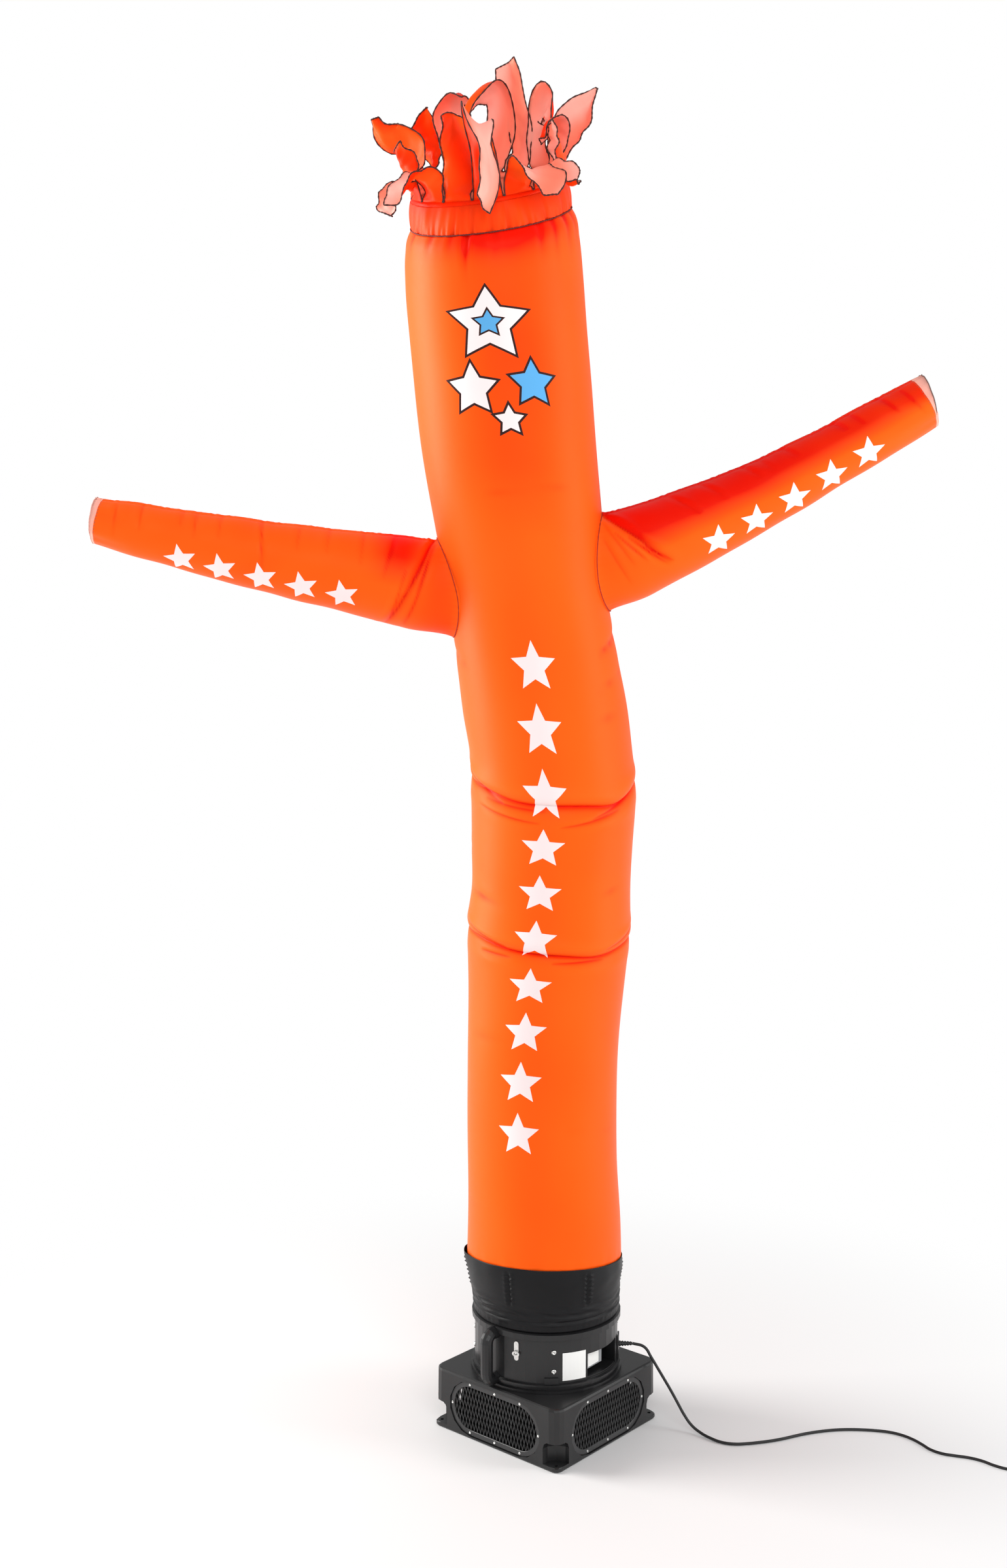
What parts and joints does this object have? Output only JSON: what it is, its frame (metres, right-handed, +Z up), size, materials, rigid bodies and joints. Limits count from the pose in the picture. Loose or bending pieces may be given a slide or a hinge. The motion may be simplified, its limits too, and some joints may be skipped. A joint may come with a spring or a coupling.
{
  "type": "inflatable air dancer on a blower",
  "caption": "Tall open-topped nylon tube figure with tapering open arms and a streamer fringe, tied over the round outlet of a square blower with a mains cord.",
  "frame": {"origin": "on the floor under the middle of the blower's round drum", "axes": "+Z up; -Y towards the dancer's front; +X towards the side where the cord leaves"},
  "size_m": [2.0723, 0.6674, 2.9223],
  "materials": {
    "orange_nylon": "satin ripstop nylon",
    "black_nylon": "matte woven",
    "black_plastic": "satin",
    "zinc_steel": "bright zinc",
    "grey_metal": "satin",
    "white_plate": "matte",
    "black_rubber": "matte",
    "pin_brass": "bright"
  },
  "bodies": {
    "root": {"housing": "black_plastic", "grille_front_right": "black_plastic", "grille_back_right": "black_plastic", "grille_back_left": "black_plastic", "grille_front_left": "black_plastic", "drum": "black_plastic", "window_tray": "black_plastic", "control_box": "grey_metal", "control_panel": "white_plate", "handle": "black_plastic", "latch_plate": "zinc_steel", "latch_staple": "zinc_steel", "blank_plate": "white_plate", "drum_tab": "black_plastic", "cord_cover": "black_plastic", "strain_relief": "black_rubber", "cord": "black_rubber", "cord_coil": "black_rubber", "plug": "black_rubber", "plug_blade_1": "pin_brass", "plug_blade_2": "pin_brass", "plug_pin": "pin_brass", "cuff": "black_nylon", "body_tube": "orange_nylon", "arm_left": "orange_nylon", "arm_right": "orange_nylon", "crown_band": "orange_nylon", "streamers": "orange_nylon", "drum_screw_1": "zinc_steel", "drum_screw_2": "zinc_steel", "drum_screw_3": "zinc_steel", "drum_screw_4": "zinc_steel", "drum_screw_5": "zinc_steel", "drum_screw_6": "zinc_steel", "drum_screw_7": "zinc_steel", "drum_screw_8": "zinc_steel"}
  },
  "joints": []
}
